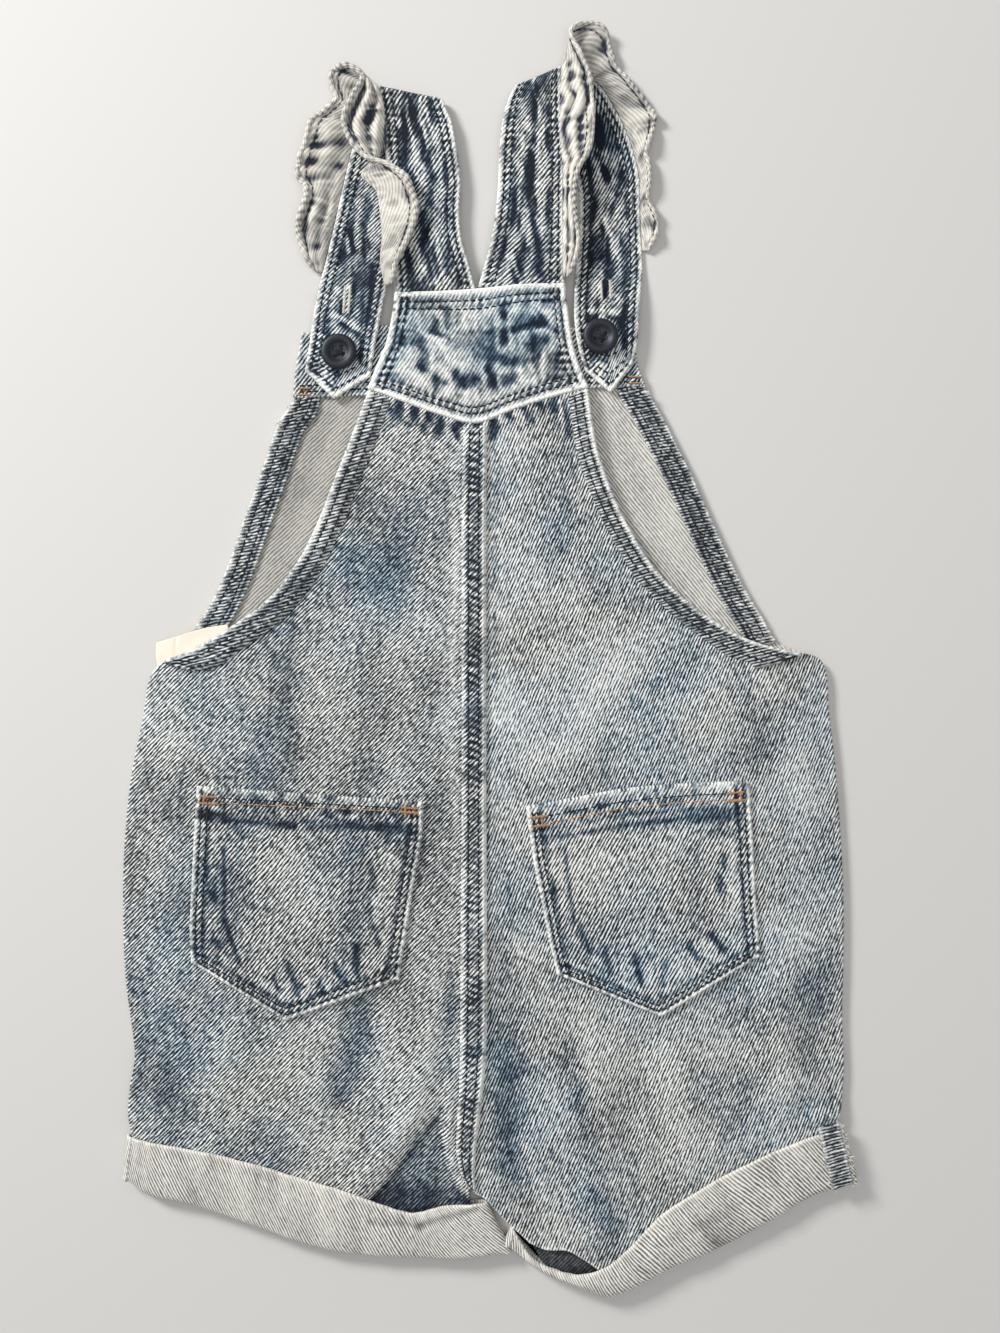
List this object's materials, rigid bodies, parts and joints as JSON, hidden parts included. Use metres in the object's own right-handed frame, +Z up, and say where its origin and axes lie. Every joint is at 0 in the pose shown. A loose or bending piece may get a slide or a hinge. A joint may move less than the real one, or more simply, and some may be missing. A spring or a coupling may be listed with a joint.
{
  "type": "denim dungarees",
  "caption": "Toddler's short denim dungarees with ruffled straps, back pockets and rolled cuffs, lying flat with the back up.",
  "frame": {"origin": "on the surface, under the middle of the whole garment's box", "axes": "+Z up from the surface, +Y from the cuffs towards the shoulders, +X towards the wearer's right"},
  "size_m": [0.28, 0.4854, 0.0105],
  "materials": {
    "denim": "stone-washed twill",
    "denim_inside": "unbleached inner face of the twill",
    "cuff_denim": "inner face of the twill, turned up",
    "worn_hem": "roped and rubbed hem",
    "ruffle_cloth": "light gathered denim",
    "button": "matte moulded",
    "label": "smooth woven tape, blank",
    "thread": "spun sewing thread"
  },
  "bodies": {
    "root": {"front_left": "denim_inside", "front_right": "denim_inside", "bib_top_hem": "denim_inside", "bib_side_hem_left": "worn_hem", "bib_side_hem_right": "worn_hem", "back_left": "denim", "back_right": "denim", "centre_back_seam": "denim", "armhole_hem_left": "worn_hem", "armhole_hem_right": "worn_hem", "back_yoke": "denim", "strap_left": "denim", "strap_right": "denim", "ruffle_left": "ruffle_cloth", "ruffle_right": "ruffle_cloth", "pocket_left": "denim", "pocket_right": "denim", "cuff_left": "cuff_denim", "cuff_right": "cuff_denim", "cuff_side_seam_right": "ruffle_cloth", "button_left": "button", "button_right": "button", "care_label": "label"}
  },
  "joints": []
}
